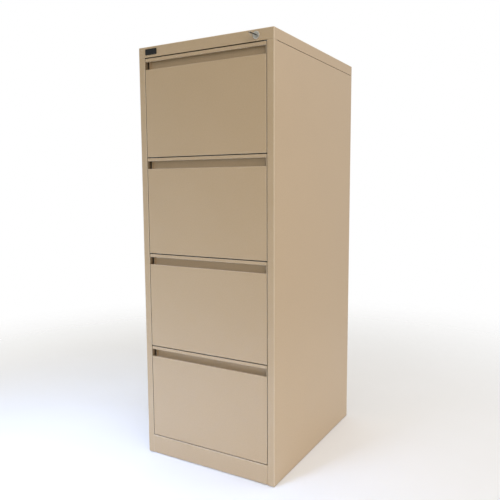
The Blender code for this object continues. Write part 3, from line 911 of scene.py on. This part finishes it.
def make_lock():
    """Housing: a bored barrel whose flange has a rounded rim, spun about the lock's axis."""
    centre = lock_centre()
    low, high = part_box("lock_housing")
    flange = (high.x - low.x) / 2
    face = low.y
    seat = face + lock_flange_thickness
    profile = [(lock_bore, face + lock_bore_bevel), (lock_bore + lock_bore_bevel, face)]
    profile += [tuple(point) for point in rounded_corner(flange, face, lock_flange_rounding)]
    profile += [(flange, seat), (lock_barrel_radius, seat)]
    profile += [(lock_barrel_radius, high.y), (lock_bore, high.y), profile[0]]
    piece(
        "lock_barrel",
        [spun(centre, profile, lock_steps)],
        "case",
        lock_nickel,
        ["lock_housing"],
    )


def key_outline(angle, centre, half_width, half_length, hole_y):
    """Distance from the hole's centre to an oval's edge, along each angle.

    It is the positive root s of (s cos a / w)^2 + ((h + s sin a - m) / l)^2 = 1, where w and l
    are the oval's half sizes, m its middle and h the hole's place.
    """
    a = (np.cos(angle) / half_width) ** 2 + (np.sin(angle) / half_length) ** 2
    b = 2 * np.sin(angle) * (hole_y - centre) / half_length**2
    c = ((hole_y - centre) / half_length) ** 2 - 1
    return (-b + np.sqrt(b * b - 4 * a * c)) / (2 * a)


def make_key():
    """Moulded head: round its hole, a cushion-like section between the hole and the oval.

    The section's two coordinates are half * sign(cos a) * |cos a| ** power and the same with
    sin, which is a rectangle with soft corners where the power is well under 1.
    """
    centre = lock_centre()
    near = centre[1] - key_setback
    hole_y = -key_head_length + key_hole_from_end
    around = np.linspace(0, 2 * math.pi, key_steps_around, endpoint=False)[:, None]
    across = np.linspace(0, 2 * math.pi, key_steps_across, endpoint=False)[None, :]
    half_length = key_head_length / 2
    edge = key_outline(around, -half_length, key_head_half_width, half_length, hole_y)
    middle = (edge + key_hole_radius) / 2
    half = (edge - key_hole_radius) / 2
    cosine = np.sign(np.cos(across)) * np.abs(np.cos(across)) ** cushion_power
    sine = np.sign(np.sin(across)) * np.abs(np.sin(across)) ** cushion_power
    reach = middle + half * cosine
    level = key_head_half_thickness * sine
    level = np.broadcast_to(level, reach.shape)
    x = reach * np.cos(around)
    y = near + hole_y + reach * np.sin(around)
    points = turned_by_tilt(centre, x, y, level).reshape(-1, 3)
    size = (key_steps_around, key_steps_across)
    quads = np.concatenate((grid_quads(*size, closed=True), closing_quads(*size)))
    head = (points, turned_out(points, quads), np.zeros(len(points)))
    piece("key_head", [head], "lock_plug", key_black, ["key"])
    make_key_blade(centre, near)


def turned_by_tilt(centre, x, y, level):
    """Points of the key: x across its flat side and level through it, tilted about the axis."""
    return np.stack(
        (
            centre[0] + x * math.cos(key_tilt) + level * math.sin(key_tilt),
            y,
            centre[2] - x * math.sin(key_tilt) + level * math.cos(key_tilt),
        ),
        axis=-1,
    )


def closing_quads(rows, columns):
    """Cells that join the last row of a closed grid to its first."""
    column = np.arange(columns)
    beside = (column + 1) % columns
    last = (rows - 1) * columns
    return np.stack((last + column, last + beside, beside, column), axis=-1)


def make_key_blade(centre, near):
    """Plated blade: a rounded bar with a wavy cut along one edge, as a key's bitting is.

    The cut is half_depth * (1 + sin(waves * s)) deep at s along the blade, and the width
    falls evenly over the last stretch, down to a blunt tip.
    """
    stations = np.linspace(blade_start, blade_end, blade_stations)
    cuts = bitting_half_depth * (1 + np.sin(stations * bitting_waves))
    cuts = cuts * (stations > bitting_start)
    tip = np.clip((blade_end - stations) / blade_taper, blade_tip_share, 1)
    outline = rounded_outline(1.0, 1.0, 0.35, 4)
    width = blade_half_width * tip[:, None] * outline[:, 0]
    lower = np.where(outline[:, 0] < 0, cuts[:, None], 0)
    x = width + lower
    level = blade_half_thickness * np.broadcast_to(outline[:, 1], x.shape)
    y = np.broadcast_to((near + stations)[:, None], x.shape)
    rings = turned_by_tilt(centre, x, y, level)
    piece("key_blade", [stacked(rings)], "lock_plug", lock_nickel)


def make_key_ring():
    """Split ring: a fine wire wound twice, carried round as a tube.

    The wire's centre is the ring's centre plus radius * (cos, sin) in its plane, and it
    moves across by one wire radius for each turn.
    """
    low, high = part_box("key_ring")
    middle = np.array((low + high) / 2)
    up = np.array([-math.sin(ring_lean), 0, math.cos(ring_lean)])
    forward = np.array([0, -1.0, 0])
    side = np.cross(forward, up)
    full = 2 * math.pi * ring_turns
    turn = np.linspace(0, full, 180)[:, None]
    around = np.linspace(0, 2 * math.pi, 10, endpoint=False)[None, :]
    outward = np.cos(turn)[..., None] * forward + np.sin(turn)[..., None] * up
    drift = (turn / full - 0.5) * ring_turns * ring_wire_radius
    rings = (
        middle
        + outward * (ring_radius + ring_wire_radius * np.cos(around))[..., None]
        + side * (drift + ring_wire_radius * np.sin(around))[..., None]
    )
    piece("split_ring", [stacked(rings)], "key_ring", ring_steel, ["key_ring"])


def make_badge():
    """Blank badge: a plate with round corners, a rounded raised edge and a sunk field.

    Each step is how far in from the outline it lies, and its share of the plate's thickness.
    """
    low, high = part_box("badge_plate")
    middle = (low + high) / 2
    half_width = (high.x - low.x) / 2
    half_height = (high.z - low.z) / 2
    thick = high.y - low.y
    corner = 0.0025
    steps = [(0, 0), (0, 0.7), (0.00012, 0.9), (0.0004, 1.0), (0.0009, 1.0), (0.0013, 0.8)]
    rings = []
    for inset, rise in steps:
        outline = rounded_outline(half_width - inset, half_height - inset, corner - inset)
        y = np.full(len(outline), high.y - thick * rise)
        rings.append(np.stack((middle.x + outline[:, 0], y, middle.z + outline[:, 1]), axis=-1))
    piece("badge", [stacked(rings)], "case", badge_black, ["badge_plate"])


def finish_kept_nodes():
    """The nodes whose shape is already right take their real finish."""
    kept = {
        "base_pan": inner_coat,
        "lock_plug": lock_nickel,
        "lock_cam": bar_plate,
        "lock_bar": bar_plate,
        "lower_bar_guide": bar_plate,
        "upper_bar_guide": bar_plate,
    }
    for end in ("front", "rear"):
        for side in ("left", "right"):
            kept[f"{end}_{side}_upright"] = upright_zinc
            kept[f"{end}_{side}_foot"] = foot_plate
    for node, finish in kept.items():
        mesh = frame["nodes"][node].data
        mesh.materials.clear()
        mesh.materials.append(finish)


make_side_panels()
make_lid()
make_back_and_plinth()
for number in drawer_numbers:
    make_front(number)
    make_liner(number)
    make_tub(number)
    make_catch(number)
    make_runners(number)
make_lock()
make_key()
make_key_ring()
make_badge()
finish_kept_nodes()


# ---- floor, light and camera ------------------------------------------------------------
def make_floor():
    """A pale, plain studio floor: rings round the origin, each point at radius * (cos, sin).

    Its outer part fades into the white surroundings, so that no far edge shows.
    """
    floor_radius = 2.7
    radius = np.concatenate(([0.001], np.linspace(0.25, floor_radius, 12)))[:, None]
    angle = np.linspace(0, 2 * math.pi, 64, endpoint=False)[None, :]
    rings = np.stack(
        (radius * np.cos(angle), radius * np.sin(angle), 0 * radius * angle),
        axis=-1,
    )
    points, quads, _ = stacked(rings, (0, 0, 1))
    mesh = bpy.data.meshes.new("studio_floor")
    mesh.from_pydata(points.tolist(), [], quads.tolist())
    mesh.shade_smooth()
    floor = bpy.data.objects.new("studio_floor", mesh)
    bpy.context.scene.collection.objects.link(floor)
    material, tree, shader = new_finish("matt white studio paper", Roughness=0.9)
    where = add(tree, "ShaderNodeTexCoord").outputs["Object"]
    fibre = add(
        tree, "ShaderNodeTexNoise", None, {"Vector": where, "Scale": 3.0, "Detail": 2.0}
    ).outputs["Fac"]
    tone = add(
        tree,
        "ShaderNodeMix",
        {"data_type": "RGBA", "blend_type": "MIX"},
        {0: fibre, 6: colour("#F4F4F2"), 7: colour("#F8F8F7")},
    )
    tree.links.new(tone.outputs[2], shader.inputs["Base Color"])
    distance = add(tree, "ShaderNodeVectorMath", {"operation": "LENGTH"}, {0: where})
    solid = add(
        tree,
        "ShaderNodeMapRange",
        {"interpolation_type": "SMOOTHSTEP"},
        {
            "Value": distance.outputs["Value"],
            "From Min": 0.7,
            "From Max": 2.6,
            "To Min": 1.0,
            "To Max": 0.0,
        },
    ).outputs["Result"]
    tree.links.new(solid, shader.inputs["Alpha"])
    mesh.materials.append(material)


def make_world():
    """Soft surroundings: brighter above, to the right and behind, a little dimmer in front.

    Straight from the camera it is plain white.
    """
    world = bpy.data.worlds.new("studio")
    world.use_nodes = True
    bpy.context.scene.world = world
    tree = world.node_tree
    where = add(tree, "ShaderNodeTexCoord").outputs["Generated"]
    towards = add(
        tree,
        "ShaderNodeVectorMath",
        {"operation": "DOT_PRODUCT"},
        {0: where, 1: (0.45, 0.60, 0.66)},
    ).outputs["Value"]
    share = add(
        tree,
        "ShaderNodeMapRange",
        {"interpolation_type": "SMOOTHSTEP"},
        {"Value": towards, "From Min": -0.55, "From Max": 0.75},
    ).outputs["Result"]
    glow = add(
        tree,
        "ShaderNodeMix",
        {"data_type": "RGBA", "blend_type": "MIX"},
        {0: share, 6: colour("#B4B6B2"), 7: colour("#D4D0CB")},
    )
    straight = add(tree, "ShaderNodeLightPath").outputs["Is Camera Ray"]
    sky = add(
        tree,
        "ShaderNodeMix",
        {"data_type": "RGBA", "blend_type": "MIX"},
        {0: straight, 6: glow.outputs[2], 7: (1.0, 1.0, 1.0, 1.0)},
    )
    background = tree.nodes["Background"]
    tree.links.new(sky.outputs[2], background.inputs["Color"])
    background.inputs["Strength"].default_value = 1.0


def ceiling_light():
    """An even, wide glow from straight above, which whitens the floor."""
    data = bpy.data.lights.new("ceiling", "SUN")
    data.energy = 0.4
    data.angle = math.radians(30)
    light = bpy.data.objects.new("ceiling", data)
    bpy.context.scene.collection.objects.link(light)


def soft_light(name, place, target, size, power, tint, spread=180):
    """A softbox that faces a target. Its spread is how wide its beam opens, in degrees."""
    data = bpy.data.lights.new(name, "AREA")
    data.shape = "RECTANGLE"
    data.size, data.size_y = size
    data.energy = power
    data.color = colour(tint)[:3]
    data.spread = math.radians(spread)
    light = bpy.data.objects.new(name, data)
    bpy.context.scene.collection.objects.link(light)
    away = np.array(target, float) - np.array(place, float)
    yaw = math.atan2(-away[0], away[1])
    pitch = math.atan2(away[2], math.hypot(away[0], away[1]))
    light.matrix_world = (
        Matrix.Translation(place)
        @ Matrix.Rotation(yaw, 4, "Z")
        @ Matrix.Rotation(math.pi / 2 + pitch, 4, "X")
    )


def make_camera():
    """Eye level with the upper part of the second drawer, 30 degrees round to the right."""
    data = bpy.data.cameras.new("camera")
    data.sensor_width = 36.0
    data.lens = 40.37
    camera = bpy.data.objects.new("camera", data)
    bpy.context.scene.collection.objects.link(camera)
    place = (0.969, -1.6822, 0.8894)
    round_to_right = math.radians(30.07)
    tipped_down = math.radians(-6.46)
    leaning = math.radians(0.29)
    camera.matrix_world = (
        Matrix.Translation(place)
        @ Matrix.Rotation(round_to_right, 4, "Z")
        @ Matrix.Rotation(tipped_down, 4, "X")
        @ Matrix.Rotation(leaning, 4, "Y")
        @ Matrix.Rotation(math.radians(90), 4, "X")
    )
    bpy.context.scene.camera = camera


make_floor()
make_world()
soft_light("right_softbox", (2.4, -2.2, 1.9), (0.0, 0.0, 1.0), (2.4, 2.4), 33.0, "#FFF7F0")
soft_light("high_softbox", (2.6, 1.2, 3.0), (0.2, 0.0, 1.0), (2.0, 2.0), 23.0, "#DCE6FF")
soft_light("floor_softbox", (-0.7, -2.0, 2.4), (-0.45, -1.0, 0), (0.8, 0.8), 9.5, "#B2CDFF", 55)
ceiling_light()
make_camera()
bpy.context.scene.view_settings.view_transform = "Standard"
